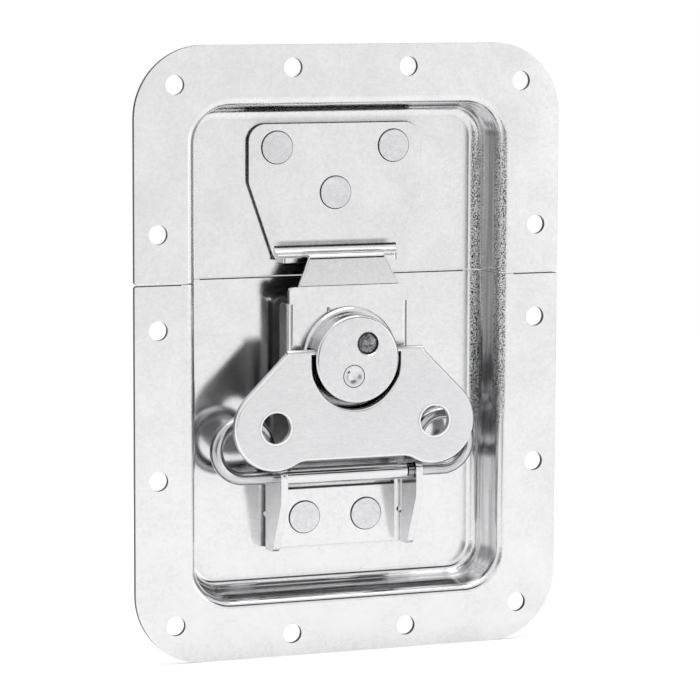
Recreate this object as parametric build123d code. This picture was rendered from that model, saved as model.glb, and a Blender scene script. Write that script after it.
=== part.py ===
from build123d import *
import math
import os

# Recessed butterfly case latch, closed. Millimetres.
# The face looks toward -Y, +X is to the right, +Z is up, toward the lid.
# The origin is the centre of the corner hole pattern on the flange's back,
# the plane that seats on the case. "stand" values are measured outward from
# the flange's front face; "sunk" values are measured inward from it.

# --- dish: one pressing split into a lid half and a base half --------------
dish_width = 127.0
dish_height = 172.0
dish_corner_r = 20.0
dish_t = 1.5                 # sheet
dish_sunk = 13.6             # floor's front face
recess_half_x = 45.9         # wall line where it leaves the flange
recess_half_z = 69.3
recess_corner_r = 10.5
wall_draft = 7.0             # degrees
rim_r = 2.5                  # outside bend from flange to wall, front side
floor_r = 3.0                # inside bend from wall to floor, front side
parting_z = 20.4
parting_gap = 0.3
parting_r = 0.8              # flange corners beside the parting line

# --- fixing holes ----------------------------------------------------------
fixing_d = 5.5
corner_inset_x, corner_inset_z = 11.75, 10.8     # in from the flange's edges
row_hole_x = 17.25           # the pairs above and below the recess
side_hole_z = 34.2           # the pairs beside the recess
join_hole_z = 7.7            # the pair just below the parting line

# --- rivets ----------------------------------------------------------------
rivet_head_d = 9.2
rivet_head_t = 0.5
rivet_shank_d = 5.0
rivet_tail_d = 8.0
rivet_tail_t = 1.2
rivet_hole_gap = 0.05        # radial

# --- keeper, riveted to the lid half ---------------------------------------
keeper_t = 1.5
keeper_half_w = 26.0
keeper_top_gap = 5.9         # below the recess's wall line
keeper_corner_r = 5.0
keeper_taper_z = 47.0        # the sides run straight down to here
keeper_taper_r = 4.0
keeper_foot_half_w = 18.6    # where the foot bends forward
keeper_bend_r = 3.9          # inside
foot_sunk = 7.9              # the foot's front edge
foot_top_z = 26.0
foot_corner_r = 1.2
keeper_rivet_x, keeper_rivet_drop = 17.6, 6.6    # below the plate's top
keeper_rivet_low_z = 43.8

# --- base bracket, riveted to the base half --------------------------------
bracket_t = 2.0
bracket_half_w = 21.4
bracket_bend_r = 1.2         # inside, between plate and ear
bracket_top_z = -40.5
bracket_foot_z = -57.0
ear_stand = 2.2
ear_kink_z = -42.0
ear_foot_sunk = 5.0          # the ear's front edge at its foot
ear_foot_r = 2.0
ear_kink_r = 4.0
ear_nose_r = 5.2             # round the ring's low bar
ear_hole_gap = 0.06          # radial, round the wire
relief_r = 1.0
relief_z = -47.8
bracket_rivet_x, bracket_rivet_z = 9.4, -48.6

# --- spring ring -----------------------------------------------------------
wire_d = 3.8
ring_sunk = 3.0              # wire's centre
ring_x = -0.8                # the ring lies a little to the left in its ears
ring_low_z = -35.2           # centre of the low bar, in the ears
ring_high_z = -28.0          # centre of the high bar, in the link's knuckle
lobe_x = 30.0                # lobe's centre, from the ring's middle
lobe_r = 8.0                 # to the wire's centre
neck_r = 4.0                 # reverse bend between lobe and high bar
ring_gap_x = 18.3            # the wire's ends meet here
ring_gap = 0.6

# --- hook plate ------------------------------------------------------------
hook_t = 1.5
hook_sunk = 1.2              # front face
hook_half_w = 18.1           # over the side flanges
hook_foot_z = -20.0
hook_foot_r = 2.0
hook_bend_r = 0.2            # inside, between plate and side flange
hook_flange_depth = 7.3
hook_flange_top_z = 13.6
hook_flange_foot_z = -17.0
hook_flange_r = 2.0          # the flanges' deep corners
hook_shoulder_half_w = 17.8
hook_shoulder_z = 18.3
hook_shoulder_r = 1.3
hook_neck_half_w = 14.8      # at the shoulders
hook_neck_r = 0.6            # between neck and shoulder
hook_slope_z = 18.55         # the neck leans back from here
hook_tip_half_w = 11.25
hook_tip_sunk = 3.0          # front of the neck, carried up to the claw's top
claw_bend_r = 0.9            # inside
claw_lap = 1.3               # over the keeper's foot
claw_gap = 0.3               # above the keeper's foot
claw_end_r = 0.6

# --- link plate ------------------------------------------------------------
link_t = 1.5
link_side_gap = 0.9          # to the hook's side flanges
link_top_z = 13.5
link_corner_r = 3.0
knuckle_half_w = 16.4
knuckle_gap = 0.06           # radial, round the wire
curl_gap = 1.0               # between the knuckle's end and the plate

# --- cam -------------------------------------------------------------------
cam_z = -1.7
cam_throw = 3.0              # eccentric offset of the stud
collar_r = 14.1
collar_stand = 0.5
collar_chamfer = 0.5
collar_gap = 0.2             # over the hook plate
journal_r = 8.0
journal_gap = 0.06           # radial, in the hook plate
backing_r = 10.8
backing_t = 1.4
backing_gap = 0.15
stud_r = 3.5
stud_slack = 0.7             # the link's slot over the stud, up and down
stud_side_gap = 0.2          # the same, sideways
stud_neck_r = 2.4
stud_peen_r = 3.2
stud_peen_t = 0.6
stud_washer_r = 6.5
stud_washer_t = 1.2
stud_washer_gap = 0.2
cap_r = 12.35                # at the front
cap_back_r = 12.9
cap_stand = 6.2
cap_edge_r = 0.9
pin_r = 3.1
pin_upper = (3.1, 4.3)       # from the cam's centre
pin_lower = (-1.25, -4.75)
pin_upper_sunk = 0.8         # below the cap's face, in a countersunk hole
pin_sink_chamfer = 0.35
pin_dome_r = 0.5
pin_dimple_r = 2.3           # in the lower pin's end
pin_dimple_t = 0.6

# --- wing ------------------------------------------------------------------
wing_t = 2.0
wing_stand = 4.8
wing_axis_z = 0.3
wing_lobe_x, wing_lobe_z = 23.85, -20.3
wing_lobe_r = 12.2
wing_slope = 45.0            # degrees, outer edge from lobe to arm
wing_foot_z = -30.0
wing_foot_r = 7.0            # between foot and lobe
wing_notch_half_w = 13.0
wing_notch_z = -3.05         # centre of the notch's round end
wing_hole_r = 4.4
wing_edge_r = 0.8            # coined front edge
trunnion_reach = 3.6         # into the cap, from the notch
trunnion_gap = 0.06          # radial
trunnion_end_gap = 0.3

# --- derived ---------------------------------------------------------------
through = dish_height                            # cutters run this far
flat_in = rim_r + dish_t                         # flange's flat, from the wall line
corner_hole_x = dish_width / 2 - corner_inset_x
corner_hole_z = dish_height / 2 - corner_inset_z
side_hole_x = (recess_half_x + flat_in + dish_width / 2) / 2     # mid-flange
row_hole_z = (recess_half_z + flat_in + dish_height / 2) / 2
keeper_top_z = recess_half_z - keeper_top_gap
keeper_rivet_z = keeper_top_z - keeper_rivet_drop
front = -dish_t                                  # flange's front face
floor_y = front + dish_sunk                      # floor's front face
keeper_y = floor_y - keeper_t
foot_y = front + foot_sunk
bracket_y = floor_y - bracket_t
ear_y = front - ear_stand
ear_foot_y = front + ear_foot_sunk
wire_r = wire_d / 2
ring_y = front + ring_sunk
knuckle_in = wire_r + knuckle_gap
knuckle_out = knuckle_in + link_t
link_y = ring_y + knuckle_in                     # link's front face
link_half_w = hook_half_w - hook_t - link_side_gap
hook_y = front + hook_sunk
claw_z = foot_top_z + claw_gap + hook_t          # claw's top
claw_end_y = foot_y + claw_lap
backing_y = hook_y + hook_t + backing_gap
stud_z = cam_z + cam_throw                       # stud's centre, closed
stud_washer_y = link_y + link_t + stud_washer_gap
collar_back_y = hook_y - collar_gap
collar_y = front - collar_stand
cap_y = front - cap_stand
wing_y = front - wing_stand
wing_axis_y = wing_y + wing_t / 2
trunnion_r = wing_t / 2
trunnion_end = wing_notch_half_w - trunnion_reach


def slab(sketch, y_back, y_front):
    """Extrude an X-Z sketch from y_back out to y_front."""
    return extrude(Plane.XZ.offset(-y_back) * sketch, amount=y_back - y_front)


def upright(sketch, z_low, z_high):
    """Extrude an X-Y sketch from z_low up to z_high."""
    return extrude(Plane.XY.offset(z_low) * sketch, amount=z_high - z_low)


def across(sketch, half):
    """Extrude a Y-Z sketch to both sides of X = 0."""
    return extrude(Plane.YZ * sketch, amount=half, both=True)


def rod(x, z, r, y_back, y_front):
    """A round bar along Y."""
    return slab(Pos(x, z) * Circle(r), y_back, y_front)


def pierced(part, centres, r):
    """The part with round holes right through it along Y."""
    for x, z in centres:
        part -= rod(x, z, r, through, -through)
    return part


def outline(points, radii=None):
    """A closed face with corner radii, each named by its point's index."""
    face = make_face(Polyline(*points, close=True))
    for index, r in (radii or {}).items():
        x, y = points[index]
        corner = face.vertices().sort_by_distance((x, y, 0))[0]
        face = fillet(corner, r)
    return face


def mirrored(points):
    """Right-hand points, closed by their mirror images in reverse order."""
    return points + [(-x, z) for x, z in reversed(points)]


def channel(half_w, t, web_y, end_y, bend_r, z_low, z_high):
    """U section along Z: a web with its outer face at web_y, arms to end_y."""
    inward = math.copysign(t, end_y - web_y)
    inner = half_w - t
    outside = outline([(-half_w, end_y), (half_w, end_y),
                       (half_w, web_y), (-half_w, web_y)],
                      {2: bend_r + t, 3: bend_r + t})
    inside = outline([(-inner, end_y + inward), (inner, end_y + inward),
                      (inner, web_y + inward), (-inner, web_y + inward)],
                     {2: bend_r, 3: bend_r})
    return upright(outside - inside, z_low, z_high)


def edges_at(part, y, inside=None, tol=0.02):
    """Edges that lie in the plane Y = y, inside a half-size about Z."""
    picked = []
    for e in part.edges():
        box = e.bounding_box()
        if abs(box.min.Y - y) > tol or abs(box.max.Y - y) > tol:
            continue
        if inside and (max(abs(box.min.X), abs(box.max.X)) > inside[0]
                       or max(abs(box.min.Z), abs(box.max.Z)) > inside[1]):
            continue
        picked.append(e)
    return ShapeList(picked)


def save(name, part):
    part.label = name
    export_step(part, f"parts/{name}.step")


# --- dish ------------------------------------------------------------------
def recess(grow, y_back):
    """The tapered recess, grown sideways by a wall."""
    mouth = RectangleRounded(2 * (recess_half_x + grow),
                             2 * (recess_half_z + grow),
                             recess_corner_r + grow)
    return extrude(Plane.XZ.offset(-front) * mouth, amount=front - y_back,
                   taper=wall_draft)


def whole_dish():
    """Flange and recess before the pressing is parted."""
    grow = dish_t / math.cos(math.radians(wall_draft))
    body = slab(RectangleRounded(dish_width, dish_height, dish_corner_r),
                0, front)
    body += recess(grow, floor_y + dish_t)
    around = (recess_half_x + 2 * grow, recess_half_z + 2 * grow)
    body = fillet(edges_at(body, 0, around), max(rim_r - dish_t, 0.5))
    body = fillet(edges_at(body, floor_y + dish_t), floor_r + dish_t)
    hollow = recess(0, floor_y)
    body -= fillet(edges_at(hollow, floor_y), floor_r)
    return fillet(edges_at(body, front, around), rim_r)


def dish_half(whole, side):
    """side is 1 for the lid half, above the parting line, -1 for the base."""
    edge_z = parting_z + side * parting_gap / 2
    half = whole & Pos(0, 0, edge_z + side * through / 2) \
        * Box(2 * dish_width, through, through)
    corners = [e for e in half.edges().filter_by(Axis.Y)
               if abs(abs(e.center().X) - dish_width / 2) < 0.01
               and abs(e.center().Z - edge_z) < 0.01]
    half = fillet(corners, parting_r)
    fixings = [(corner_hole_x, side * corner_hole_z),
               (row_hole_x, side * row_hole_z),
               (side_hole_x, side * side_hole_z)]
    if side < 0:
        fixings.append((side_hole_x, join_hole_z))
    half = pierced(half, mirrored(fixings), fixing_d / 2)
    rivets = keeper_rivets() if side > 0 else bracket_rivets()
    return pierced(half, rivets.values(), rivet_shank_d / 2 + rivet_hole_gap)


# --- rivets ----------------------------------------------------------------
def keeper_rivets():
    return {"keeper_rivet_left": (-keeper_rivet_x, keeper_rivet_z),
            "keeper_rivet_right": (keeper_rivet_x, keeper_rivet_z),
            "keeper_rivet_low": (0, keeper_rivet_low_z)}


def bracket_rivets():
    return {"bracket_rivet_left": (-bracket_rivet_x, bracket_rivet_z),
            "bracket_rivet_right": (bracket_rivet_x, bracket_rivet_z)}


def rivet(x, z, seat_y):
    """Flat head on the plate, shank through the floor, upset tail behind."""
    head_y = seat_y - rivet_head_t
    tail_y = floor_y + dish_t
    end_y = tail_y + rivet_tail_t
    head = rod(x, z, rivet_head_d / 2, seat_y, head_y)
    head = fillet(edges_at(head, head_y), rivet_head_t / 2)
    tail = rod(x, z, rivet_tail_d / 2, end_y, tail_y)
    tail = fillet(edges_at(tail, end_y), rivet_tail_t / 2)
    return head + rod(x, z, rivet_shank_d / 2, tail_y, seat_y) + tail


# --- keeper ----------------------------------------------------------------
def keeper():
    """Riveted plate with its tapered foot curled forward, under the claw."""
    toe_z = foot_top_z - keeper_t
    side = outline([(keeper_y, keeper_top_z), (keeper_y, foot_top_z),
                    (foot_y, foot_top_z), (foot_y, toe_z),
                    (floor_y, toe_z), (floor_y, keeper_top_z)],
                   {1: keeper_bend_r, 4: keeper_bend_r + keeper_t})
    taper = (keeper_half_w - keeper_foot_half_w) / (keeper_taper_z - foot_top_z)
    face = outline(mirrored([(keeper_half_w, keeper_top_z),
                             (keeper_half_w, keeper_taper_z),
                             (keeper_foot_half_w, foot_top_z),
                             (keeper_foot_half_w, toe_z)]),
                   {0: keeper_corner_r, 7: keeper_corner_r,
                    1: keeper_taper_r, 6: keeper_taper_r})
    foot_half_w = keeper_foot_half_w - taper * (keeper_y - foot_y)
    plan = outline(mirrored([(keeper_half_w, floor_y),
                             (keeper_half_w, keeper_y),
                             (keeper_foot_half_w, keeper_y),
                             (foot_half_w, foot_y)]),
                   {3: foot_corner_r, 4: foot_corner_r})
    part = across(side, keeper_half_w) & slab(face, floor_y, foot_y) \
        & upright(plan, toe_z, keeper_top_z)
    return pierced(part, keeper_rivets().values(),
                   rivet_shank_d / 2 + rivet_hole_gap)


# --- bracket ---------------------------------------------------------------
def bracket():
    """U-shaped bracket: a riveted plate with two ears that carry the ring."""
    inner = bracket_half_w - bracket_t
    part = channel(bracket_half_w, bracket_t, floor_y, ear_y, bracket_bend_r,
                   bracket_foot_z, ring_low_z + ear_nose_r)
    ear = outline([(floor_y, bracket_foot_z), (ear_foot_y, bracket_foot_z),
                   (ear_y, ear_kink_z), (ear_y, ring_low_z),
                   (ring_y + ear_nose_r, ring_low_z),
                   (floor_y, bracket_top_z)],
                  {1: ear_foot_r, 2: ear_kink_r})
    ear += Pos(ring_y, ring_low_z) * Circle(ear_nose_r)
    part &= across(ear, bracket_half_w)
    flat_w = 2 * (inner - bracket_bend_r)
    part -= Pos(0, floor_y, bracket_top_z + through / 2) \
        * Box(flat_w, 2 * dish_sunk, through)
    part -= across(Pos(ring_y, ring_low_z) * Circle(wire_r + ear_hole_gap),
                   through)
    for s in (-1, 1):
        part -= rod(s * (inner + relief_r / 2), relief_z, relief_r,
                    through, bracket_y - 2 * bracket_bend_r)
    return pierced(part, bracket_rivets().values(),
                   rivet_shank_d / 2 + rivet_hole_gap)


# --- ring ------------------------------------------------------------------
def ring():
    """Round wire bent to a dog-bone: two lobes, a low and a high bar."""
    lobe_z = ring_low_z + lobe_r
    neck_z = ring_high_z + neck_r
    neck_x = lobe_x - math.sqrt((lobe_r + neck_r) ** 2 - (neck_z - lobe_z) ** 2)
    turn = math.degrees(math.atan2(neck_z - lobe_z, neck_x - lobe_x))
    left, right = ring_x - lobe_x, ring_x + lobe_x
    gap_right = ring_gap_x + ring_gap / 2
    gap_left = ring_gap_x - ring_gap / 2
    path = Wire([
        Line((gap_right, ring_low_z), (right, ring_low_z)),
        CenterArc((right, lobe_z), lobe_r, -90, turn + 90),
        CenterArc((ring_x + neck_x, neck_z), neck_r, turn - 180, 90 - turn),
        Line((ring_x + neck_x, ring_high_z), (ring_x - neck_x, ring_high_z)),
        CenterArc((ring_x - neck_x, neck_z), neck_r, -90, 90 - turn),
        CenterArc((left, lobe_z), lobe_r, 180 - turn, turn + 90),
        Line((left, ring_low_z), (gap_left, ring_low_z)),
    ])
    start = Plane(origin=(gap_right, ring_y, ring_low_z), z_dir=(1, 0, 0))
    return sweep(start * Circle(wire_r), path=Plane.XZ.offset(-ring_y) * path)


# --- hook plate ------------------------------------------------------------
def hook():
    """Channel-sided plate with a sloped neck turned back into a claw."""
    back_y = hook_y + hook_t
    tip_y = front + hook_tip_sunk
    lean = math.atan2(tip_y - hook_y, claw_z - hook_slope_z)
    inner_y = tip_y + hook_t / math.cos(lean) - hook_t * math.tan(lean)
    bend_z = claw_z - (claw_bend_r + hook_t) * math.tan(math.pi / 4 - lean / 2)
    side = outline([(hook_y, hook_foot_z), (hook_y, hook_slope_z),
                    (tip_y, claw_z), (claw_end_y, claw_z),
                    (claw_end_y, claw_z - hook_t),
                    (inner_y, claw_z - hook_t),
                    (back_y, hook_slope_z - hook_t * math.tan(lean / 2)),
                    (back_y, hook_foot_z)],
                   {2: claw_bend_r + hook_t, 5: claw_bend_r,
                    3: claw_end_r, 4: claw_end_r})
    flat_half_w = hook_half_w - hook_t - hook_bend_r
    face = outline(mirrored([(hook_tip_half_w, claw_z),
                             (hook_tip_half_w, bend_z),
                             (hook_neck_half_w, hook_shoulder_z),
                             (hook_shoulder_half_w, hook_shoulder_z),
                             (hook_shoulder_half_w, hook_flange_top_z),
                             (flat_half_w, hook_flange_top_z),
                             (flat_half_w, hook_foot_z)]),
                   {2: hook_neck_r, 11: hook_neck_r,
                    3: hook_shoulder_r, 10: hook_shoulder_r,
                    6: hook_foot_r, 7: hook_foot_r})
    plate = across(side, hook_half_w) & slab(face, claw_end_y, hook_y)
    deep_y = hook_y + hook_flange_depth
    flanges = channel(hook_half_w, hook_t, hook_y, deep_y, hook_bend_r,
                      hook_flange_foot_z, hook_flange_top_z)
    flanges &= across(outline([(hook_y, hook_flange_top_z),
                               (deep_y, hook_flange_top_z),
                               (deep_y, hook_flange_foot_z),
                               (hook_y, hook_flange_foot_z)],
                              {1: hook_flange_r, 2: hook_flange_r}),
                      hook_half_w)
    return pierced(plate + flanges, [(0, cam_z)], journal_r + journal_gap)


# --- link plate ------------------------------------------------------------
def link():
    """Flat plate curled round the ring's high bar, slotted for the stud."""
    knuckle = Pos(ring_y, ring_high_z) * (Circle(knuckle_out)
                                          - Circle(knuckle_in))
    knuckle -= Pos(link_y - curl_gap / 2, ring_high_z + knuckle_out / 2) \
        * Rectangle(curl_gap, knuckle_out)
    plate = Pos(link_y + link_t / 2, (ring_high_z + link_top_z) / 2) \
        * Rectangle(link_t, link_top_z - ring_high_z)
    bar_z = ring_high_z + knuckle_out
    face = outline(mirrored([(link_half_w, link_top_z),
                             (link_half_w, bar_z),
                             (knuckle_half_w, bar_z),
                             (knuckle_half_w, ring_high_z - knuckle_out)]),
                   {0: link_corner_r, 7: link_corner_r})
    part = across(knuckle + plate, knuckle_half_w) & slab(face, through, -through)
    slot_w = 2 * (stud_r + cam_throw + stud_side_gap)
    slot_h = 2 * (stud_r + stud_slack)
    return part - slab(Pos(0, stud_z) * SlotOverall(slot_w, slot_h),
                       through, -through)


# --- cam -------------------------------------------------------------------
def cam_pins():
    return {"cam_pin_upper": (pin_upper[0], cam_z + pin_upper[1]),
            "cam_pin_lower": (pin_lower[0], cam_z + pin_lower[1])}


def cam_base():
    """Collar, journal and eccentric stud in one turned piece."""
    journal_back_y = backing_y + backing_t
    neck_back_y = stud_washer_y + stud_washer_t
    peen_back_y = neck_back_y + stud_peen_t
    collar = rod(0, cam_z, collar_r, collar_back_y, collar_y)
    part = chamfer(edges_at(collar, collar_y), collar_chamfer)
    part += rod(0, cam_z, journal_r, journal_back_y, collar_back_y)
    part += rod(0, stud_z, stud_r, stud_washer_y, journal_back_y)
    part += rod(0, stud_z, stud_neck_r, neck_back_y, stud_washer_y)
    peen = rod(0, stud_z, stud_peen_r, peen_back_y, neck_back_y)
    part += fillet(edges_at(peen, peen_back_y), stud_peen_t / 2)
    for x, z in cam_pins().values():
        part -= rod(x, z, pin_r, collar_back_y, collar_y)
    return part


def cam_backing():
    """Ring pressed on the journal behind the hook plate."""
    return rod(0, cam_z, backing_r, backing_y + backing_t, backing_y) \
        - rod(0, cam_z, journal_r, backing_y + backing_t, backing_y)


def stud_washer():
    """Washer behind the link plate, held by the stud's peened end."""
    back_y = stud_washer_y + stud_washer_t
    return rod(0, stud_z, stud_washer_r, back_y, stud_washer_y) \
        - rod(0, stud_z, stud_neck_r, back_y, stud_washer_y)


def cam_cap():
    """Thick round cap with slots in its back for the wing's trunnions."""
    flare = math.degrees(math.atan2(cap_back_r - cap_r, collar_y - cap_y))
    part = extrude(Plane.XZ.offset(-collar_y) * Pos(0, cam_z)
                   * Circle(cap_back_r), amount=collar_y - cap_y, taper=flare)
    part = fillet(edges_at(part, cap_y), cap_edge_r)
    slot_r = trunnion_r + trunnion_gap
    slot_depth = collar_y - wing_axis_y
    slot = Pos(wing_axis_y, wing_axis_z) * Circle(slot_r) \
        + Pos(wing_axis_y + slot_depth / 2, wing_axis_z) \
        * Rectangle(slot_depth, 2 * slot_r)
    for s in (-1, 1):
        start = Plane.YZ.offset(s * (trunnion_end - trunnion_end_gap))
        part -= extrude(start * slot, amount=s * cap_back_r)
    part = pierced(part, cam_pins().values(), pin_r)
    x, z = cam_pins()["cam_pin_upper"]
    rim = edges_at(part, cap_y).sort_by_distance((x, cap_y, z))[0]
    return chamfer(rim, pin_sink_chamfer)


def cam_pin(name):
    """Pin that joins cap and collar; both ends are worked on the front."""
    x, z = cam_pins()[name]
    if name == "cam_pin_upper":
        end_y = cap_y + pin_upper_sunk
        pin = rod(x, z, pin_r, collar_back_y, end_y)
        return fillet(edges_at(pin, end_y), pin_dome_r)
    ball_r = (pin_dimple_r ** 2 + pin_dimple_t ** 2) / (2 * pin_dimple_t)
    dimple = Pos(x, cap_y + pin_dimple_t - ball_r, z) * Sphere(ball_r)
    return rod(x, z, pin_r, collar_back_y, cap_y) - dimple


# --- wing ------------------------------------------------------------------
def wing():
    """Butterfly wing: two pierced lobes, a U notch and two trunnions."""
    slope = math.radians(wing_slope)
    touch_x = wing_lobe_x + wing_lobe_r * math.cos(slope)
    touch_z = wing_lobe_z + wing_lobe_r * math.sin(slope)
    arm_x = touch_x - (wing_axis_z - touch_z) * math.tan(slope)
    chord_x = math.sqrt(wing_lobe_r ** 2 - (wing_foot_z - wing_lobe_z) ** 2)
    blank = outline(mirrored([(arm_x, wing_axis_z), (touch_x, touch_z),
                              (wing_lobe_x, wing_lobe_z),
                              (wing_lobe_x, wing_foot_z)]))
    for s in (-1, 1):
        blank += Pos(s * wing_lobe_x, wing_lobe_z) * Circle(wing_lobe_r)
    for s in (-1, 1):
        corner = (s * (wing_lobe_x - chord_x), wing_foot_z, 0)
        blank = fillet(blank.vertices().sort_by_distance(corner)[0],
                       wing_foot_r)
    blank -= Pos(0, wing_notch_z) * Circle(wing_notch_half_w)
    blank -= Pos(0, wing_notch_z + wing_lobe_r) \
        * Rectangle(2 * wing_notch_half_w, 2 * wing_lobe_r)
    for s in (-1, 1):
        blank -= Pos(s * wing_lobe_x, wing_lobe_z) * Circle(wing_hole_r)
    part = slab(blank, wing_y + wing_t, wing_y)
    coined = [e for e in edges_at(part, wing_y)
              if e.bounding_box().min.Z < wing_axis_z - wing_edge_r]
    part = fillet(coined, wing_edge_r)
    bar = Pos(wing_axis_y, wing_axis_z) * Circle(trunnion_r)
    for s in (-1, 1):
        part += extrude(Plane.YZ.offset(s * trunnion_end) * bar,
                        amount=s * (arm_x - trunnion_end))
    return part


def main():
    os.makedirs("parts", exist_ok=True)
    whole = whole_dish()
    save("upper_dish", dish_half(whole, 1))
    save("lower_dish", dish_half(whole, -1))
    save("keeper_plate", keeper())
    for name, (x, z) in keeper_rivets().items():
        save(name, rivet(x, z, keeper_y))
    save("base_bracket", bracket())
    for name, (x, z) in bracket_rivets().items():
        save(name, rivet(x, z, bracket_y))
    save("spring_ring", ring())
    save("link_plate", link())
    save("hook_plate", hook())
    save("cam_base", cam_base())
    save("cam_backing", cam_backing())
    save("stud_washer", stud_washer())
    save("cam_cap", cam_cap())
    for name in cam_pins():
        save(name, cam_pin(name))
    save("wing", wing())


main()
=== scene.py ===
import math
from functools import partial

import bpy
from mathutils import Matrix, Vector


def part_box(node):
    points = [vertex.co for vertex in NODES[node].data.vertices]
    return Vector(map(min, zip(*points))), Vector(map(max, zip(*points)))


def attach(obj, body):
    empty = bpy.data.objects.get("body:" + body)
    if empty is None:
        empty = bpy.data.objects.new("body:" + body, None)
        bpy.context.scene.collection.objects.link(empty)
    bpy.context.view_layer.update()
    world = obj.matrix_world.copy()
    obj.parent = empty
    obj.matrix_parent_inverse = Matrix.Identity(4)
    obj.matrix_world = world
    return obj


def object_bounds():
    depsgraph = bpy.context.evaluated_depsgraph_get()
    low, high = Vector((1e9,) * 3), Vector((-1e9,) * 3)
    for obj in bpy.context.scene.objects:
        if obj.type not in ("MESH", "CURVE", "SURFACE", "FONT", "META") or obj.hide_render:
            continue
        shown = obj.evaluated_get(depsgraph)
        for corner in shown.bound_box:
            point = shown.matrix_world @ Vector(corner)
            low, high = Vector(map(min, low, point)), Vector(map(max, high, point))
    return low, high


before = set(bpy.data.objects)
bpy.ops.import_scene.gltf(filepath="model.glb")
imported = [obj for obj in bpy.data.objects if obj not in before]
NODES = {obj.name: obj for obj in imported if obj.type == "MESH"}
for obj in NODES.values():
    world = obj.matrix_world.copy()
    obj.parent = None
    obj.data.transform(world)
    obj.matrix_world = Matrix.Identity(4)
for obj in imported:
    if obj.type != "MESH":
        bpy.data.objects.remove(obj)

# Recessed butterfly case latch, closed: its finishes, small shop marks and
# studio. Light and shade are painted into some finishes: shade in gaps and
# seams, a grey reflection band, dark glints and white edges. Objects are in
# metres and in the frame of the imported model: the face looks toward -Y, +X is
# to the right and +Z is up. Places of small pieces are written in millimetres.

bl_info = {
    "name": "Butterfly Case Latch",
    "version": (1, 0, 0),
    "blender": (4, 5, 0),
    "location": "View3D > Sidebar > Latch",
    "description": "Dresses a butterfly case latch and sets up its stage",
    "category": "Object",
}

MM = 0.001
CASE_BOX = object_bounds()
CAM_Z = -1.7                        # height of the cam's axis, in millimetres
CAM_CENTRE = (0, 0, CAM_Z * MM)


def linear(hex_colour):
    """A web colour, such as E6E6E8, as linear red, green and blue."""
    shares = [int(hex_colour[i:i + 2], 16) / 255 for i in (0, 2, 4)]
    return tuple(s / 12.92 if s <= 0.04045 else ((s + 0.055) / 1.055) ** 2.4
                 for s in shares)


# --- sizes and colours a user would change ---------------------------------
class LatchFinish(bpy.types.PropertyGroup):
    zinc: bpy.props.FloatVectorProperty(
        name="Zinc", description="Bright zinc plate on the pressed sheet",
        subtype="COLOR", size=3, min=0, max=1, default=linear("EBEBEC"))
    zinc_dull: bpy.props.FloatVectorProperty(
        name="Zinc, dull", description="Duller clouds in the zinc plate",
        subtype="COLOR", size=3, min=0, max=1, default=linear("DCDCDD"))
    # the cut edge colours also draw the dark seam lines, which are painted shade
    cut_and_shade_colour: bpy.props.FloatVectorProperty(
        name="Cut edge", description="Sheared edge, thinly plated",
        subtype="COLOR", size=3, min=0, max=1, default=linear("48484A"))
    cut_and_shade_dull: bpy.props.FloatVectorProperty(
        name="Cut edge, dull", description="Torn part of the sheared edge",
        subtype="COLOR", size=3, min=0, max=1, default=linear("0C0C0D"))
    # the plate edge colours also draw the plates' seam lines, which are painted shade
    edge: bpy.props.FloatVectorProperty(
        name="Plate edge", description="Plated edge of the riveted plates",
        subtype="COLOR", size=3, min=0, max=1, default=linear("98989A"))
    edge_dull: bpy.props.FloatVectorProperty(
        name="Plate edge, dull", description="Torn part of the plates' edges",
        subtype="COLOR", size=3, min=0, max=1, default=linear("565658"))
    # coined edges are brighter than the plate partly as painted highlight
    coined: bpy.props.FloatVectorProperty(
        name="Coined edge", description="Edges pressed round and rubbed bright",
        subtype="COLOR", size=3, min=0, max=1, default=linear("F8F8F8"))
    coined_dull: bpy.props.FloatVectorProperty(
        name="Coined edge, dull", description="Duller clouds on coined edges",
        subtype="COLOR", size=3, min=0, max=1, default=linear("F0F0F0"))
    rivet: bpy.props.FloatVectorProperty(
        name="Rivet", description="Plated rivet heads and pins",
        subtype="COLOR", size=3, min=0, max=1, default=linear("E4E4E6"))
    rivet_dull: bpy.props.FloatVectorProperty(
        name="Rivet, dull", description="Duller clouds on the rivet heads",
        subtype="COLOR", size=3, min=0, max=1, default=linear("CDCDCF"))
    wire: bpy.props.FloatVectorProperty(
        name="Spring wire", description="Drawn wire of the ring",
        subtype="COLOR", size=3, min=0, max=1, default=linear("DCDCDE"))
    wire_dull: bpy.props.FloatVectorProperty(
        name="Spring wire, dull", description="Duller stretches of the wire",
        subtype="COLOR", size=3, min=0, max=1, default=linear("A2A2A6"))
    turned: bpy.props.FloatVectorProperty(
        name="Turned steel", description="Cam cap and collar",
        subtype="COLOR", size=3, min=0, max=1, default=linear("E3E3E4"))
    turned_dull: bpy.props.FloatVectorProperty(
        name="Turned steel, dull", description="Duller clouds on the cam",
        subtype="COLOR", size=3, min=0, max=1, default=linear("D3D3D5"))
    wing: bpy.props.FloatVectorProperty(
        name="Wing", description="Satin plate of the wing",
        subtype="COLOR", size=3, min=0, max=1, default=linear("E2E2E3"))
    wing_dull: bpy.props.FloatVectorProperty(
        name="Wing, dull", description="Duller clouds on the wing",
        subtype="COLOR", size=3, min=0, max=1, default=linear("D3D3D5"))
    peened: bpy.props.FloatVectorProperty(
        name="Peened pin", description="Crests of the hammered pin end",
        subtype="COLOR", size=3, min=0, max=1, default=linear("A8A8AA"))
    peened_dull: bpy.props.FloatVectorProperty(
        name="Peened pin, dull", description="Hollows of the hammered pin end",
        subtype="COLOR", size=3, min=0, max=1, default=linear("3C3C3E"))
    # the burr colours are a painted black and white glint of torn metal
    burr: bpy.props.FloatVectorProperty(
        name="Burr", description="Bright torn metal of the burrs",
        subtype="COLOR", size=3, min=0, max=1, default=linear("E8E8E8"))
    burr_dull: bpy.props.FloatVectorProperty(
        name="Burr, dull", description="Dark torn metal of the burrs",
        subtype="COLOR", size=3, min=0, max=1, default=linear("161618"))


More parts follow.
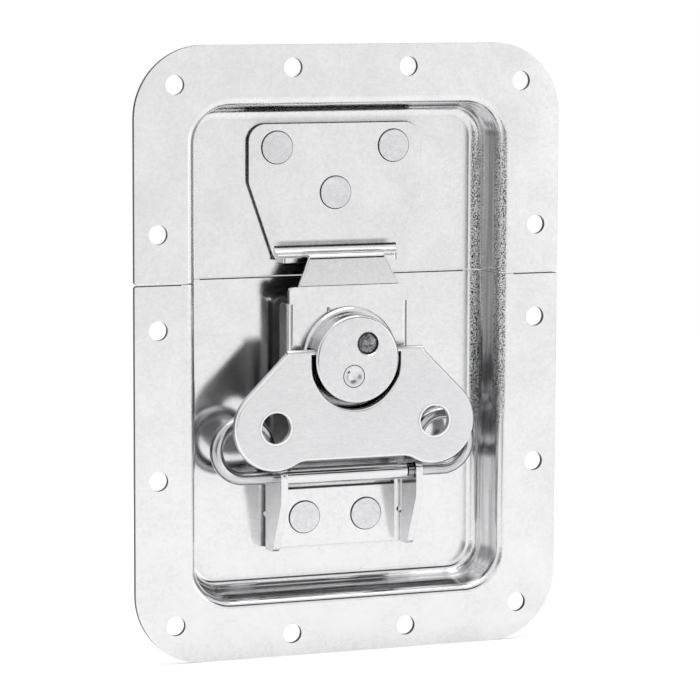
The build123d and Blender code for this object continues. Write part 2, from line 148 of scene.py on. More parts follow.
class LatchSizes(bpy.types.PropertyGroup):
    seam: bpy.props.FloatProperty(
        name="Seam", description="Width of the seams round rivets and plates",
        subtype="DISTANCE", unit="LENGTH", precision=6, min=0.05 * MM,
        default=0.2 * MM)
    finger_rim: bpy.props.FloatProperty(
        name="Finger rim", description="Width of the finger holes' coined rims",
        subtype="DISTANCE", unit="LENGTH", precision=6, min=0.2 * MM,
        default=0.5 * MM)
    lip: bpy.props.FloatProperty(
        name="Lip", description="Radius of the lips along the parting line",
        subtype="DISTANCE", unit="LENGTH", precision=6, min=0.02 * MM,
        default=0.11 * MM)
    sleeve: bpy.props.FloatProperty(
        name="Sleeve", description="Radius of the sleeve on the ring's low bar",
        subtype="DISTANCE", unit="LENGTH", precision=6, min=1.95 * MM,
        default=2.4 * MM)
    peen_rise: bpy.props.FloatProperty(
        name="Peen rise", description="Height of the hammered pin end",
        subtype="DISTANCE", unit="LENGTH", precision=6, min=0.1 * MM,
        default=0.5 * MM)


class LatchStage(bpy.types.PropertyGroup):
    table: bpy.props.FloatVectorProperty(
        name="Table", description="Pale table under the latch",
        subtype="COLOR", size=3, min=0, max=1, default=linear("F4F4F4"))
    table_reach: bpy.props.FloatProperty(
        name="Table reach", description="Radius of the round table",
        subtype="DISTANCE", unit="LENGTH", min=0.3, default=0.8)


# --- node helpers ----------------------------------------------------------
def node(tree, kind, *inputs, **settings):
    """Adds a node: its inputs in order, then its properties and named inputs.

    An input is a value, a socket, or a node whose first shown output is meant.
    """
    made = tree.nodes.new("ShaderNode" + kind)
    named = {}
    for name, value in settings.items():
        if hasattr(made, name):
            setattr(made, name, value)
        else:
            named[name.replace("_", " ")] = value
    shown = [socket for socket in made.inputs if socket.enabled]
    by_name = {socket.name: socket for socket in shown}
    for socket, value in [*zip(shown, inputs),
                          *((by_name[name], value)
                            for name, value in named.items())]:
        if isinstance(value, bpy.types.Node):
            value = next(out for out in value.outputs if out.enabled)
        if isinstance(value, bpy.types.NodeSocket):
            tree.links.new(value, socket)
        else:
            socket.default_value = value
    return made


def blank_material(name):
    """A material with no nodes, and the function that adds nodes to it."""
    material = bpy.data.materials.new(name)
    material.use_nodes = True
    material.node_tree.nodes.clear()
    return material, partial(node, material.node_tree)


def between(add, value, low, high, soft):
    """1 where the value lies between low and high, fading over soft."""
    rise = add("MapRange", value, interpolation_type="SMOOTHSTEP",
               From_Min=low - soft, From_Max=low + soft)
    fall = add("MapRange", value, interpolation_type="SMOOTHSTEP",
               From_Min=high - soft, From_Max=high + soft, To_Min=1.0,
               To_Max=0.0)
    return add("Math", rise, fall, operation="MULTIPLY")


# --- finishes --------------------------------------------------------------
# tones that a plated surface takes where it is worn or marked, and tones of
# painted light: shade in gaps, a grey reflection band, dark glints, and white
# edges that are partly wear and partly painted highlight
PIT = (*linear("616161"), 1)
PAINTED_DARK_GLINT = (*linear("272727"), 1)
DIE_STREAK = (*linear("AAAAAA"), 1)
PAINTED_REFLECTION_GREY = (*linear("6F6F6F"), 1)
RUBBED_EDGE_AND_HIGHLIGHT = (*linear("FCFCFC"), 1)
PAINTED_GAP_SHADE = (*linear("1A1A1A"), 1)

# Some patterns are really too fine to show, and are drawn coarser. Plating
# grain is 0.02 to 0.05 mm and is drawn 0.25 to 0.5 mm. The open grain of the
# drawn bends is about 0.1 mm and is drawn 0.3 mm. Turning marks and the die's
# streaks are a few tenths of a millimetre apart, and are drawn at these widths.
TURNING_MM = 0.754
STREAK_MM = 2.2


def metal(name, colour, dull, roughness, grain_mm, peel, cloud_mm=14.0,
          speck=0.0, edge_mm=0.2, wear_highlight=0.8, tone_in_shade=0.05, reach_mm=8.0,
          drawn_bends=False, stretch=(1, 1, 1), lathe=0.0, reflection_band=None):
    """A plated metal: clouds and grain, edges rubbed and painted white, painted shade in
    corners.

    colour, dull      the plate, and its duller clouds
    roughness         smoothest and roughest, over the clouds
    grain_mm, peel    size and depth of the grain
    cloud_mm, speck   size of the clouds, share of dark pits
    edge_mm, wear_highlight  width of the edges rubbed bright and painted white, and how
    far
    tone_in_shade     what is left of the tone deep in a gap, under painted shade
    reach_mm          width of the widest gap that still gets painted shade
    drawn_bends       adds the marks of deep drawing, with painted dark glints
    stretch           below 1 draws the pattern out along an axis
    lathe             depth of the turning marks
    reflection_band   a painted grey reflection band: low and high z, left and right x, mm
    """
    material, add = blank_material(name)
    place = add("TexCoord").outputs["Object"]
    spot = add("SeparateXYZ", place)
    surface = add("NewGeometry").outputs["Normal"]
    drawn = add("Mapping", place, Scale=stretch)
    cloud, mottle, grain, dots = (
        add("TexNoise", drawn, Scale=1 / (size * MM), Detail=detail,
            Roughness=0.6)
        for size, detail in ((cloud_mm, 3.0), (3.5 * grain_mm, 2.0),
                             (grain_mm, 2.0), (1.05 * grain_mm, 1.0)))
    sum_of_three = add("Math", cloud,
                       add("Math", mottle, grain, operation="ADD"),
                       operation="ADD")
    share = add("MapRange", sum_of_three, From_Min=1.15, From_Max=1.85)
    tone = add("Mix", share, (*dull, 1), (*colour, 1), data_type="RGBA")
    if speck:
        pits = add("MapRange", dots, From_Min=0.30, From_Max=0.42,
                   To_Min=speck, To_Max=0.0)
        tone = add("Mix", pits, tone, PIT, data_type="RGBA")

    height = add("Math", grain, peel, operation="MULTIPLY")
    if drawn_bends:
        tone, height, glints = deep_drawn(add, place, spot, surface, dots, tone,
                                          height)
    # painted reflection: a patchy grey band mixed into the tone
    if reflection_band:
        low, high, left, right = (edge * MM for edge in reflection_band)
        band = add("Math", between(add, spot.outputs["Z"], low, high, 0.5 * MM),
                   between(add, spot.outputs["X"], left, right, 1.6 * MM),
                   operation="MULTIPLY")
        patchy = add("Math", mottle, 0.5, 0.4, operation="MULTIPLY_ADD")
        tone = add("Mix", add("Math", band, patchy, operation="MULTIPLY"), tone,
                   PAINTED_REFLECTION_GREY, data_type="RGBA")

    # edges: the rounded normal leans away from the surface's own; there the tone
    # turns white, partly wear and partly painted highlight
    edge = add("Bevel", samples=4, Radius=edge_mm * MM)
    lean = add("VectorMath", edge, surface, operation="DOT_PRODUCT")
    rubbed = add("MapRange", lean, From_Min=0.99, From_Max=0.88, To_Min=0.0,
                 To_Max=wear_highlight)
    tone = add("Mix", rubbed, tone, RUBBED_EDGE_AND_HIGHLIGHT, data_type="RGBA")

    # corners and gaps: painted shade, the tone darkens where ambient occlusion
    # finds surfaces close by
    open_sky = add("AmbientOcclusion", samples=6,
                   Distance=reach_mm * MM).outputs["AO"]
    unshaded_share = add("MapRange", open_sky, From_Min=0.12, From_Max=0.5,
               To_Min=tone_in_shade, To_Max=1.0)
    tone = add("Mix", unshaded_share, PAINTED_GAP_SHADE, tone, data_type="RGBA")

    rough = add("MapRange", cloud, From_Min=0.3, From_Max=0.7,
                To_Min=roughness[0], To_Max=roughness[1])
    rough = add("Math", rubbed, 0.4, rough, operation="MULTIPLY_ADD")
    if drawn_bends:
        rough = add("Math", glints, 0.5, rough, operation="MULTIPLY_ADD")
    if lathe:
        centred = add("Mapping", place, vector_type="TEXTURE",
                      Location=CAM_CENTRE)
        rings = add("TexWave", centred, wave_type="RINGS", rings_direction="Y",
                    Scale=math.tau / 20 / (TURNING_MM * MM), Distortion=0.4)
        height = add("Math", rings.outputs["Fac"], lathe, height,
                     operation="MULTIPLY_ADD")
    relief = add("Bump", Height=height, Normal=edge, Strength=1.0, Distance=MM)
    shader = add("BsdfPrincipled", Base_Color=tone, Roughness=rough,
                 Normal=relief, Metallic=1.0)
    add("OutputMaterial", shader)
    return material


def deep_drawn(add, place, spot, surface, dots, tone, height):
    """Marks of deep drawing: open grain on the bends, the die's streaks.

    The open grain is put on the bends that face left in the dish's upper two
    thirds. There its dark sparkle is painted, as dark specks of painted
    reflection, and its bright sparkle comes from rougher spots.
    """
    facing = add("SeparateXYZ", surface)
    flat_on = add("Math", facing.outputs["Y"], operation="ABSOLUTE")
    wall = between(add, flat_on, -1.0, 0.3, 0.05)
    # the open grain runs a little way down the wall from the rim's bend
    near_rim = add("Math", wall, between(add, spot.outputs["Y"], -3 * MM,
                                         2.3 * MM, 0.3 * MM),
                   operation="MULTIPLY")
    bent = add("Math", near_rim, between(add, flat_on, 0.25, 0.985, 0.012),
               operation="MAXIMUM")
    leftward = add("MapRange", facing.outputs["X"], From_Min=-0.1,
                   From_Max=-0.35, To_Min=0.25, To_Max=1.0)
    upper = between(add, spot.outputs["Z"], -18 * MM, 58 * MM, 7 * MM)
    upper = add("Math", upper, 0.85, 0.15, operation="MULTIPLY_ADD")
    bent = add("Math", bent, add("Math", leftward, upper, operation="MULTIPLY"),
               operation="MULTIPLY")
    height = add("Math", dots, add("Math", bent, 0.09, operation="MULTIPLY"),
                 height, operation="MULTIPLY_ADD")

    # fewer painted dark glints near the rim of the recess than near its floor
    shallow = add("MapRange", spot.outputs["Y"], From_Min=2 * MM,
                  From_Max=9 * MM, To_Min=0.02, To_Max=0.0)
    dots = add("Math", dots, shallow, operation="ADD")
    # painted reflection: dark specks on the left-facing bends
    painted_dark_glints = add("MapRange", dots, From_Min=0.52, From_Max=0.45, To_Min=0.0,
                 To_Max=0.95)
    glints = add("Math", bent, add("MapRange", dots, From_Min=0.52,
                                   From_Max=0.56), operation="MULTIPLY")
    tone = add("Mix", add("Math", bent, painted_dark_glints, operation="MULTIPLY"), tone,
               PAINTED_DARK_GLINT, data_type="RGBA")

    # the die leaves long streaks along the walls: up the side walls, and
    # across the top and bottom ones
    level = add("MapRange", add("Math", facing.outputs["Z"],
                                operation="ABSOLUTE"),
                From_Min=0.6, From_Max=0.8)
    wiped = add("Mix", level, add("Mapping", place, Scale=(1, 1, 0.05)),
                add("Mapping", place, Scale=(0.05, 1, 1)), data_type="VECTOR")
    streak = add("TexNoise", wiped, Scale=1 / (STREAK_MM * MM), Detail=2.0,
                 Roughness=0.5)
    height = add("Math", streak, add("Math", wall, 0.1, operation="MULTIPLY"),
                 height, operation="MULTIPLY_ADD")
    worn = add("MapRange", streak, From_Min=0.38, From_Max=0.62, To_Min=0.7,
               To_Max=0.0)
    tone = add("Mix", add("Math", wall, worn, operation="MULTIPLY"), tone,
               DIE_STREAK, data_type="RGBA")
    return tone, height, glints


def dress(name, material, cut=None, is_cut=None):
    """Puts the material on a CAD node, and cut on the faces is_cut picks."""
    mesh = NODES[name].data
    mesh.materials.clear()
    mesh.materials.append(material)
    for face in mesh.polygons:
        face.material_index = 0
    if cut:
        mesh.materials.append(cut)
        for face in mesh.polygons:
            if is_cut(face.center / MM, face.normal):
                face.material_index = 1


# which faces are sheared edges, from their middle (mm) and normal
NOTCH_REACH = 13.9                   # just past the wing's round notch
# painted grey reflection band on the keeper: lowest and highest z, left and right x
REFLECTION_BAND_BOX = (28.4, 30.3, -17.4, 15.7)


def dish_edge(middle, normal):
    """Flange edge, hole walls and parting edge, all square to the flange."""
    return (abs(normal.y) < 0.25 and -1.6 < middle.y < 0.1
            or abs(normal.z) > 0.999)


def keeper_edge(middle, normal):
    return abs(normal.y) < 0.25 and (middle.y > 10.55 or abs(normal.x) > 0.7)


def bracket_edge(middle, normal):
    return abs(normal.z) > 0.7 and middle.y > 10.05


def notch_wall(middle, normal):
    return (abs(normal.y) < 0.93
            and math.hypot(middle.x, middle.z - CAM_Z) < NOTCH_REACH)


def head_wall(middle, normal):
    return abs(normal.y) < 0.6


def cut_edge_and_shade(finish):
    """Sheared steel, dark: the torn edge's own grey, deepened by painted shade and
    reflection into a dark line.
    """
    return (bpy.data.materials.get("cut_edge_and_shade")
            or metal("cut_edge_and_shade", finish.cut_and_shade_colour, finish.cut_and_shade_dull,
                     (0.35, 0.5), 0.35, 0.03, edge_mm=0.05, wear_highlight=0.2))


class LATCH_OT_finish_dish(bpy.types.Operator):
    """Give the two halves of the dish their zinc plate"""
    bl_idname = "latch.finish_dish"
    bl_label = "Finish Dish"

    def execute(self, context):
        finish = context.scene.latch_finish
        # bright zinc on deep-drawn sheet: near-mirror flats with soft clouds, open
        # grain with painted dark glints on the bends, streaked walls, and painted shade
        # that reaches far into the recess, under the wing and the bars
        plate = metal("bright_zinc_pressing", finish.zinc, finish.zinc_dull,
                      (0.11, 0.17), 0.30, 0.0045, reach_mm=13.0,
                      drawn_bends=True)
        # the dish's cut edges, hole walls and parting faces are dark partly as painted
        # shade
        for name in ("upper_dish", "lower_dish"):
            dress(name, plate, cut_edge_and_shade(finish), dish_edge)
        return {"FINISHED"}


class LATCH_OT_finish_plates(bpy.types.Operator):
    """Give the keeper, bracket, hook, link and wing their plate"""
    bl_idname = "latch.finish_plates"
    bl_label = "Finish Plates"

    def execute(self, context):
        finish = context.scene.latch_finish
        # bright zinc on stamped sheet: a flat mirror, finely pitted
        plate = metal("bright_zinc_blank", finish.zinc, finish.zinc_dull,
                      (0.12, 0.18), 0.35, 0.004, speck=0.06)
        # sheared, then plated: a grey line, lighter than the dish's, darkened partly
        # as painted shade along the plates' edges
        edge = metal("plated_sheared_edge", finish.edge, finish.edge_dull,
                     (0.35, 0.5), 0.35, 0.03, edge_mm=0.05, wear_highlight=0.2,
                     tone_in_shade=0.5)
        # the same sheet with a painted grey reflection band across the keeper's bend
        # into its foot, just above the hook's claw
        rubbed = metal("zinc_keeper_painted_reflection", finish.zinc, finish.zinc_dull,
                       (0.12, 0.18), 0.35, 0.004, speck=0.06,
                       reflection_band=REFLECTION_BAND_BOX)
        dress("keeper_plate", rubbed, edge, keeper_edge)
        dress("base_bracket", plate, edge, bracket_edge)
        dress("hook_plate", plate)
        # sheet curled round the wire: the curl roughens it, so it looks soft
        knuckle = metal("bright_zinc_knuckle", finish.zinc, finish.zinc_dull,
                        (0.4, 0.5), 0.35, 0.004, tone_in_shade=1.0)
        dress("link_plate", knuckle)
        # tumbled, then plated: a satin sheen with pits, and faint marks across
        satin = metal("satin_zinc_wing", finish.wing, finish.wing_dull,
                      (0.26, 0.36), 0.3, 0.005, speck=0.12, stretch=(0.4, 1, 1))
        # the notch's wall round the cam gets the dark cut edge: painted shade in the gap
        # round the cap
        dress("wing", satin, cut_edge_and_shade(finish), notch_wall)
        # coined: edges pressed round; their white outlines are partly painted
        # highlight, in the brighter colour
        coin = metal("coined_edge_painted_highlight", finish.coined, finish.coined_dull,
                     (0.3, 0.42), 0.3, 0.004)
        mesh = NODES["wing"].data
        mesh.materials.append(coin)
        for face in mesh.polygons:
            if face.material_index == 0 and 0.02 < abs(face.normal.y) < 0.97:
                face.material_index = 2
        return {"FINISHED"}


class LATCH_OT_finish_turned(bpy.types.Operator):
    """Give the rivets, pins, ring and cam their plate"""
    bl_idname = "latch.finish_turned"
    bl_label = "Finish Rivets, Ring and Cam"

    def execute(self, context):
        finish = context.scene.latch_finish
        # headed steel, barrel plated: flat grey discs, a little rough
        rivet = metal("plated_rivet", finish.rivet, finish.rivet_dull,
                      (0.2, 0.3), 0.4, 0.006, speck=0.12)
        for name in NODES:
            if "rivet" in name or "pin" in name:
                # the heads' side walls get the dark cut edge: painted shade round each
                # head
                dress(name, rivet, cut_edge_and_shade(finish), head_wall)
        # spring wire drawn through a die: a mirror with streaks along it
        wire = metal("drawn_spring_wire", finish.wire, finish.wire_dull,
                     (0.1, 0.16), 0.25, 0.012, stretch=(0.03, 1, 0.03))
        dress("spring_ring", wire)
        # turned, then plated: bright, with faint rings round the cam's axis
        turned = metal("turned_cam_steel", finish.turned, finish.turned_dull,
                       (0.14, 0.22), 0.4, 0.003, lathe=0.004)
        for name in ("cam_base", "cam_backing", "stud_washer", "cam_cap"):
            dress(name, turned)
        return {"FINISHED"}


# --- small pieces ----------------------------------------------------------
# places and sizes in millimetres
RIVET_SEAM = (0.5, 4.58)             # depth behind the head, inner radius
# pin, depth behind its face, inner radius, width
PIN_SEAMS = (("cam_pin_lower", 0.01, 3.02, 0.22),
             ("cam_pin_upper", -0.02, 2.85, 0.3))
SEAM_STAND = 0.02
RIVET_CLEARANCE = 5.0                # where a plate's seam gives way to a rivet

FINGER_HOLES = (("left", -23.85), ("right", 23.85))
FINGER_Z, FINGER_RADIUS, RIM_STAND = -20.3, 4.36, 0.09
# lips along the parting line: place, from x, to x, y
LIP_RUNS = (("left", -63.2, -50.0, -1.5), ("floor", -40.0, 40.0, 12.1),
            ("right", 50.0, 63.2, -1.5))
BRIGHT_LIP_Z, DARK_LIP_Z = 20.66, 20.12
# the hook's neck: half width, y and z of its foot, top and crease
NECK_FOOT, NECK_TOP = (14.7, -0.26, 18.7), (11.15, 1.32, 26.8)
NECK_CREASE = (14.6, -0.27, 18.5)
NECK_EDGE_RADIUS, NECK_CREASE_RADIUS = 0.15, 0.1

PEEN_RADIUS = 2.72
# place and half size
COLLAR_BURR = (-6.1, -0.85, 11.6), (0.3, 0.25, 0.95)
EAR_BURRS = (("left", (-20.4, -3.35, -34.6)), ("right", (20.0, -3.35, -35.2)))
EAR_BURR_SIZE = (0.9, 0.35, 1.2)
PIN_NICK = (-2.9, -7.59, -5.2), (0.45, 0.1, 0.4)
# the ring's low bar, between the bracket's ears
SLEEVE_FROM, SLEEVE_TO, LOW_BAR = -18.6, 17.9, (1.5, -35.35)


def deselect():
    bpy.ops.object.select_all(action="DESELECT")


def hold(piece):
    """Selects this piece and nothing else."""
    deselect()
    piece.select_set(True)
    bpy.context.view_layer.objects.active = piece


def pick(piece, wanted):
    """Enters edit mode with the faces selected that wanted(middle, normal)
    picks. The middle is in millimetres."""
    bpy.ops.object.mode_set(mode="OBJECT")
    bpy.context.tool_settings.mesh_select_mode = (False, False, True)
    mesh = piece.data
    turn = piece.matrix_world.to_3x3().normalized()
    for part in (mesh.vertices, mesh.edges, mesh.polygons):
        part.foreach_set("select", [False] * len(part))
    for face in mesh.polygons:
        face.select = wanted(piece.matrix_world @ face.center / MM,
                             turn @ face.normal)
    bpy.ops.object.mode_set(mode="EDIT")


def fit(piece, name, body, slot, material, angle=40):
    """Fixes a new piece's place in its mesh and hangs it on its body."""
    if piece.mode == "EDIT":
        bpy.ops.mesh.select_all(action="SELECT")
        bpy.ops.mesh.normals_make_consistent(inside=False)
        bpy.ops.object.mode_set(mode="OBJECT")
    if not piece.data.polygons:
        raise RuntimeError(name + " has no faces")
    hold(piece)
    bpy.ops.object.transform_apply(location=True, rotation=True, scale=True)
    bpy.ops.object.shade_smooth_by_angle(angle=math.radians(angle))
    piece.name = piece.data.name = name
    piece.data.materials.clear()
    piece.data.materials.append(material)
    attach(piece, body)
    return piece


def middle_of(name):
    """A node's middle x, front face's y and middle z, in millimetres."""
    low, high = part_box(name)
    middle = (Vector(low) + Vector(high)) / 2 / MM
    return middle.x, low[1] / MM, middle.z


def flat_ring(name, place, inner, width, stand, body, slot, material, soft=0.0):
    """A thin ring that faces forward, standing a little proud of its place."""
    x, y, z = place
    deselect()
    bpy.ops.mesh.primitive_circle_add(
        vertices=64, radius=(inner + width) * MM, fill_type="NGON",
        location=(x * MM, (y - stand) * MM, z * MM),
        rotation=(math.pi / 2, 0, 0))
    ring = bpy.context.object
    bpy.ops.object.mode_set(mode="EDIT")
    bpy.ops.mesh.select_all(action="SELECT")
    bpy.ops.mesh.inset(thickness=width * MM)
    bpy.ops.mesh.delete(type="FACE")
    bpy.ops.mesh.select_all(action="SELECT")
    bpy.ops.mesh.extrude_region_move(
        TRANSFORM_OT_translate={"value": (0, 2 * stand * MM, 0),
                                "orient_type": "GLOBAL"})
    if soft:
        pick(ring, lambda middle, normal: normal.y < -0.9)
        bpy.ops.mesh.bevel(offset=soft * MM, segments=3, affect="EDGES")
    return fit(ring, name, body, slot, material)


class LATCH_OT_seams(bpy.types.Operator):
    """Draw dark seam lines of painted shade round the rivet heads, pins and riveted plates
    """
    bl_idname = "latch.seams"
    bl_label = "Seams"

    def execute(self, context):
        finish = context.scene.latch_finish
        width = context.scene.latch_sizes.seam / MM
        # painted shade: a dark line in the gap round each rivet head and pin
        seam = metal("painted_shade_and_nick", finish.cut_and_shade_colour, finish.cut_and_shade_dull,
                     (0.4, 0.55), 0.3, 0.01, wear_highlight=0.0)
        for name in sorted(NODES):
            if "rivet" in name:
                x, front, z = middle_of(name)
                behind, inner = RIVET_SEAM
                flat_ring("seam_" + name, (x, front + behind, z), inner, width,
                          SEAM_STAND, "case_side", "rivet_steel", seam)
        for name, behind, inner, ring in PIN_SEAMS:
            x, front, z = middle_of(name)
            flat_ring("seam_" + name, (x, front + behind, z), inner, ring,
                      SEAM_STAND, "cam", "turned_steel", seam)
        # painted shade: a softer, grey line where each riveted plate meets the dish's
        # floor
        joint = metal("plate_outline_painted_shade", finish.edge, finish.edge_dull,
                      (0.4, 0.55), 0.3, 0.01, wear_highlight=0.0, tone_in_shade=0.5)
        for name in ("keeper_plate", "base_bracket"):
            self.plate_seam(name, width, joint)
        return {"FINISHED"}

    def plate_seam(self, name, width, material):
        """A thin line of painted shade on the dish's floor round a riveted plate."""
        strip = bpy.data.objects.new("seam", NODES[name].data.copy())
        bpy.context.scene.collection.objects.link(strip)
        hold(strip)
        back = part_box(name)[1][1] / MM
        bpy.ops.object.mode_set(mode="EDIT")
        bpy.ops.mesh.select_all(action="SELECT")
        bpy.ops.mesh.remove_doubles(threshold=0.001 * MM)
        pick(strip, lambda middle, normal: not (normal.y > 0.99
                                                and middle.y > back - 0.05))
        bpy.ops.mesh.delete(type="FACE")
        bpy.ops.mesh.select_all(action="SELECT")
        bpy.ops.mesh.inset(thickness=width * MM)
        bpy.ops.mesh.delete(type="FACE")
        rivets = [middle_of(other) for other in NODES if "rivet" in other]
        pick(strip, lambda middle, normal: any(
            math.hypot(middle.x - x, middle.z - z) < RIVET_CLEARANCE
            for x, _, z in rivets))
        bpy.ops.mesh.delete(type="FACE")
        bpy.ops.object.mode_set(mode="OBJECT")
        spots = [vertex.co for vertex in strip.data.vertices]
        low, high = (Vector([way(spot[axis] for spot in spots)
                             for axis in range(3)]) for way in (min, max))
        # grown by its own width, so that it lies just outside the plate
        grown = [1 + 2 * width * MM / (high[axis] - low[axis])
                 for axis in (0, 2)]
        bpy.ops.object.mode_set(mode="EDIT")
        bpy.ops.mesh.select_all(action="SELECT")
        bpy.ops.transform.resize(value=(grown[0], 1, grown[1]),
                                 center_override=(low + high) / 2)
        bpy.ops.transform.translate(value=(0, -0.06 * MM, 0))
        bpy.ops.mesh.extrude_region_move(
            TRANSFORM_OT_translate={"value": (0, 0.04 * MM, 0)})
        fit(strip, "seam_" + name, "case_side", "zinc_pressing", material)


class LATCH_OT_bright_edges(bpy.types.Operator):
    """Add bright rims and lips, partly painted highlight, and lines of painted shade"""
    bl_idname = "latch.bright_edges"
    bl_label = "Bright Edges"

    def execute(self, context):
        sizes = context.scene.latch_sizes
        coin = bpy.data.materials["coined_edge_painted_highlight"]
        dark = bpy.data.materials["painted_shade_and_nick"]
        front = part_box("wing")[0][1] / MM
        # coined rims round the finger holes, brighter partly as painted highlight
        for side, x in FINGER_HOLES:
            flat_ring("finger_rim_" + side, (x, front, FINGER_Z),
                      FINGER_RADIUS, sizes.finger_rim / MM, RIM_STAND, "wing",
                      "wing_steel", coin, soft=RIM_STAND)
        # the parting line: a bright lip, partly painted highlight, and a dark lip of
        # painted shade in the gap
        for name, z, material in (("bright_lip", BRIGHT_LIP_Z, coin),
                                  ("dark_lip", DARK_LIP_Z, dark)):
            for spot, start, end, y in LIP_RUNS:
                self.lip(name + "_" + spot, (start, y, z), (end, y, z),
                         material, "case_side", sizes.lip / MM)
        # the hook's neck: bright sides, partly painted highlight, and a dark line of
        # painted shade in the crease where it leans back
        for side, way in (("left", -1), ("right", 1)):
            foot, top = ((way * x, y, z) for x, y, z in (NECK_FOOT, NECK_TOP))
            self.lip("neck_edge_" + side, foot, top, coin, "hook",
                     NECK_EDGE_RADIUS)
        x, y, z = NECK_CREASE
        self.lip("neck_crease", (-x, y, z), (x, y, z), dark, "hook",
                 NECK_CREASE_RADIUS)
        return {"FINISHED"}

    def lip(self, name, start, end, material, body, radius):
        """A bead along an edge of the sheet, with drawn-in ends."""
        start, end = Vector(start) * MM, Vector(end) * MM
        way = end - start
        deselect()
        bpy.ops.mesh.primitive_cylinder_add(
            vertices=12, radius=radius * MM, depth=way.length,
            location=(start + end) / 2, rotation=way.to_track_quat(
                "Z", "Y").to_euler())
        bead = bpy.context.object
        bpy.ops.object.mode_set(mode="EDIT")
        pick(bead,
             lambda middle, normal: abs(normal.dot(way)) > 0.9 * way.length)
        bpy.ops.mesh.inset(thickness=0.4 * radius * MM)
        bpy.ops.mesh.extrude_region_shrink_fatten(
            TRANSFORM_OT_shrink_fatten={"value": 0.5 * radius * MM})
        fit(bead, name, body, "zinc_pressing", material)


class LATCH_OT_shop_marks(bpy.types.Operator):
    """Add the peened pin end, the burrs and the sleeve on the ring's bar"""
    bl_idname = "latch.shop_marks"
    bl_label = "Shop Marks"

    def execute(self, context):
        finish = context.scene.latch_finish
        sizes = context.scene.latch_sizes
        # hammered steel: a dark dome with glinting facets
        peened = metal("peened_pin_end", finish.peened, finish.peened_dull,
                       (0.12, 0.24), 0.45, 0.12, cloud_mm=1.2, wear_highlight=0.0,
                       tone_in_shade=0.6)
        self.dome("peened_pin_end", middle_of("cam_pin_upper"), PEEN_RADIUS,
                  sizes.peen_rise / MM, "cam", "turned_steel", peened)
        # torn steel with painted glints: black and white at once, with no plain tone
        # between
        torn = metal("torn_burr_painted_glints", finish.burr, finish.burr_dull,
                     (0.1, 0.3), 0.5, 0.3, cloud_mm=0.6, wear_highlight=0.0, tone_in_shade=0.5)
        self.burr("burr_collar", *COLLAR_BURR, "cam", "turned_steel", torn)
        for side, place in EAR_BURRS:
            self.burr("burr_ear_" + side, place, EAR_BURR_SIZE, "case_side",
                      "zinc_pressing", torn)
        self.burr("nick_cam_pin_lower", *PIN_NICK, "cam", "turned_steel",
                  bpy.data.materials["painted_shade_and_nick"])
        # zinc sheet rolled round the bar: a mirror, streaked along its length, with
        # painted shade that goes black where the knuckle and ears close over it
        rolled = metal("rolled_zinc_sleeve", finish.zinc, finish.zinc_dull,
                       (0.1, 0.16), 0.3, 0.01, stretch=(0.04, 1, 1), wear_highlight=0.3,
                       tone_in_shade=0.0, reach_mm=7.0)
        self.sleeve("bar_sleeve", sizes.sleeve, rolled)
        return {"FINISHED"}

    def sleeve(self, name, radius, material):
        """A rolled sleeve on the ring's low bar, between the bracket's ears."""
        y, z = LOW_BAR
        deselect()
        bpy.ops.mesh.primitive_cylinder_add(
            vertices=64, radius=radius, depth=(SLEEVE_TO - SLEEVE_FROM) * MM,
            location=((SLEEVE_FROM + SLEEVE_TO) / 2 * MM, y * MM, z * MM),
            rotation=(0, math.pi / 2, 0))
        piece = bpy.context.object
        pick(piece, lambda middle, normal: abs(normal.x) > 0.9)
        bpy.ops.mesh.inset(thickness=0.35 * MM)
        bpy.ops.transform.resize(value=(1.012, 1, 1))
        fit(piece, name, "ring", "zinc_pressing", material)

    def dome(self, name, place, radius, rise, body, slot, material):
        """A shallow dome, cut from a large ball."""
        x, y, z = place
        ball = (radius ** 2 + rise ** 2) / (2 * rise)
        deselect()
        bpy.ops.mesh.primitive_uv_sphere_add(
            segments=48, ring_count=96, radius=ball * MM,
            location=(x * MM, (y + ball - rise) * MM, z * MM),
            rotation=(math.pi / 2, 0, 0))
        piece = bpy.context.object
        bpy.ops.object.mode_set(mode="EDIT")
        bpy.ops.mesh.select_all(action="SELECT")
        bpy.ops.mesh.bisect(plane_co=(x * MM, (y + 0.02) * MM, z * MM),
                            plane_no=(0, 1, 0), use_fill=True,
                            clear_outer=True)
        fit(piece, name, body, slot, material)

    def burr(self, name, place, size, body, slot, material):
        """A ragged sliver of torn metal."""
        deselect()
        bpy.ops.mesh.primitive_ico_sphere_add(
            subdivisions=3, radius=1, location=[v * MM for v in place],
            scale=[v * MM for v in size])
        piece = bpy.context.object
        bpy.ops.object.mode_set(mode="EDIT")
        bpy.ops.mesh.select_all(action="SELECT")
        bpy.ops.transform.vertex_random(offset=0.12 * MM, seed=3)
        bpy.ops.mesh.vertices_smooth(factor=0.3)
        fit(piece, name, body, slot, material, angle=25)


# --- stage -----------------------------------------------------------------
# The cloths that the plate mirrors as dark shapes. Each patch is standing or
# lying, its sector in degrees to the right of -Y, its height up the cloth or
# distance from the middle in metres (both as from, to, soft), and how much
# light it stops.
HUNG = (
    (True, (-26, -9, 4), (-2.0, 0.28, 0.2), 1.0),        # behind the camera
    (True, (-50, -24, 4), (-2.0, 0.55, 0.2), 0.5),       # left of the camera
    (True, (2, 48, 8), (0.53, 1.15, 0.05), 1.0),         # strip above eye level
    (True, (66, 118, 8), (-2.0, 0.9, 0.2), 0.7),         # right-hand side
)
LAID = (
    (False, (-26, -16, 3), (0.26, 0.9, 0.12), 1.0),      # under the camera
    (False, (-50, -25, 4), (0.45, 0.9, 0.15), 0.75),     # left of the camera
    (False, (66, 118, 8), (0.3, 0.9, 0.15), 0.7),        # right-hand side
)
CLOTH_RADIUS, CLOTH_HEIGHT, CLOTH_MIDDLE = 1.6, 2.4, 0.6
